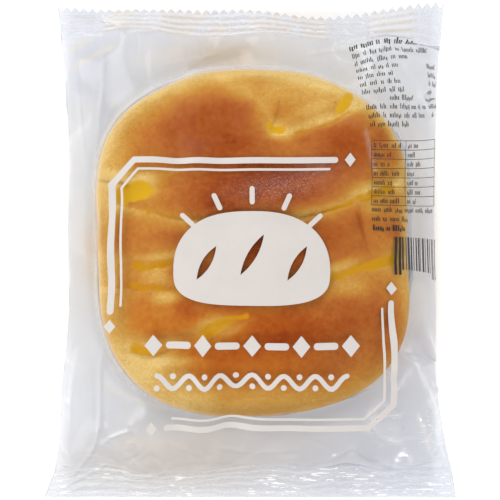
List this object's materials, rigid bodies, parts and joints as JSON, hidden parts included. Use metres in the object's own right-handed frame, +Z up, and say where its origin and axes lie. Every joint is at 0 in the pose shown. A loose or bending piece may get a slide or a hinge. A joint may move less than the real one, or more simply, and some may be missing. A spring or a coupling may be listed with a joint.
{
  "type": "bagged butter bread bun",
  "caption": "Soft folded bread bun in a clear sealed flow-wrap bag with crimped ends, one of them saw-toothed, lying on its back.",
  "frame": {"origin": "under the middle of the bag, on the surface that it lies on", "axes": "+X to the right of the front face, +Y along the bag towards the saw-toothed seal, +Z up out of the front face"},
  "size_m": [0.145, 0.1742, 0.0412],
  "materials": {
    "film": "gloss",
    "crust": "satin",
    "white_print": "satin",
    "dark_print": "satin"
  },
  "bodies": {
    "root": {"sealed_bag": "film"}
  },
  "joints": []
}
